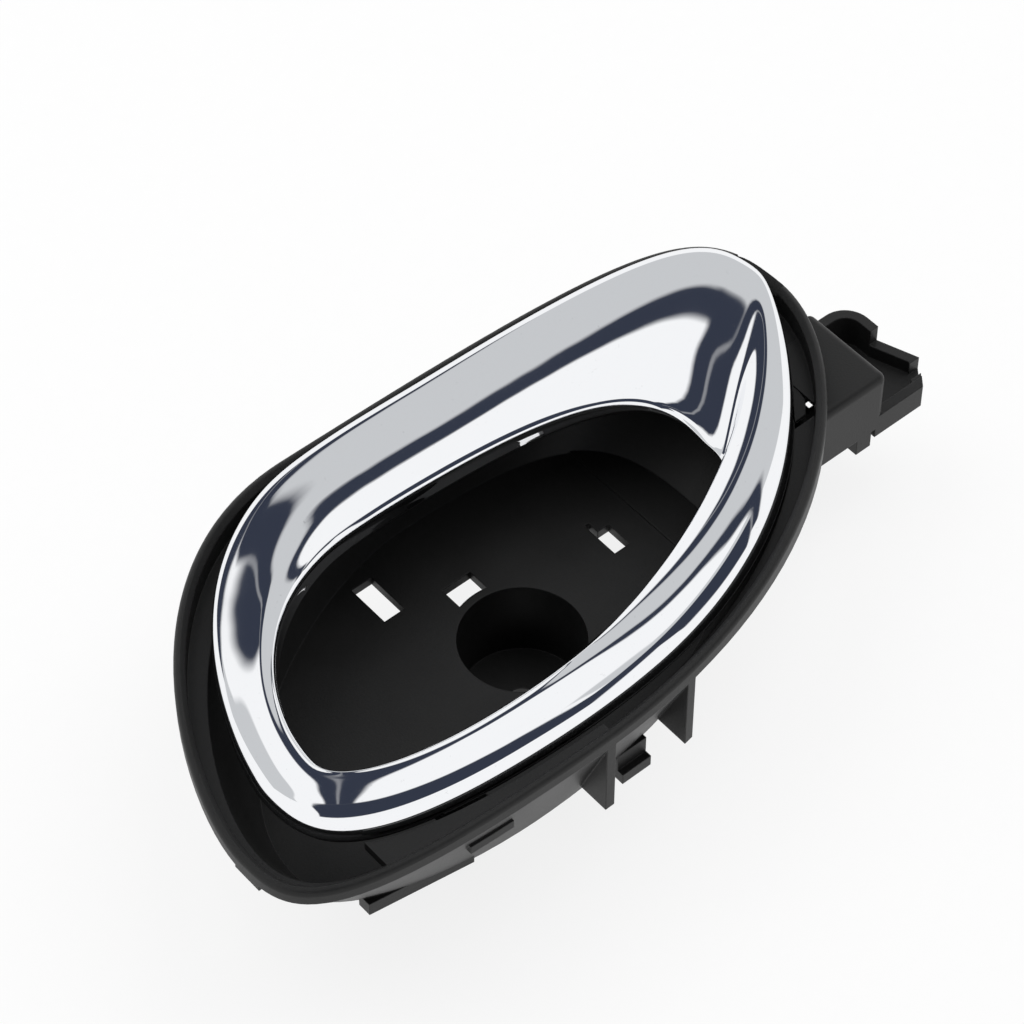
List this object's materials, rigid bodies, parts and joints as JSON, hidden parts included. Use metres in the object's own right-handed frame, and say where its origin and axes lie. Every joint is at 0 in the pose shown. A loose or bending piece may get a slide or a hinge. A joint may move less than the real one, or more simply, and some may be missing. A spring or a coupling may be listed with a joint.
{
  "type": "car interior door handle",
  "caption": "Inside release handle of a car door: a chrome ring lever hinged in a black moulded bowl with a screw well, floor slots, snap hooks and a cable tail.",
  "frame": {"origin": "on the fixing screw's axis, where the back of the screw boss meets the door", "axes": "+X along the handle towards the hinge and cable tail, +Y towards the wide side of the ring, +Z out of the door towards the hand"},
  "size_m": [0.1727, 0.0842, 0.046],
  "materials": {
    "housing_plastic": "fine satin grain, black",
    "ring_chrome": "bright polished plating",
    "carrier_plastic": "plain black",
    "pin_steel": "ground",
    "spring_steel": "drawn wire",
    "buffer_rubber": "soft black rubber"
  },
  "bodies": {
    "frame": {"housing": "housing_plastic", "hinge_pin": "pin_steel", "return_spring": "spring_steel", "near_buffer": "buffer_rubber", "far_buffer": "buffer_rubber"},
    "lever": {"lever_ring": "ring_chrome", "lever_carrier": "carrier_plastic"}
  },
  "joints": [
    {"name": "lever_hinge", "type": "hinge", "parent": "frame", "child": "lever", "pos_m": [0.074, 0.0024, 0.0323], "axis": [0, 1, 0], "range_deg": [0, 18], "stiffness_Nm_per_rad": 0.8, "springref_deg": -22.92, "deforming": ["return_spring"]}
  ]
}
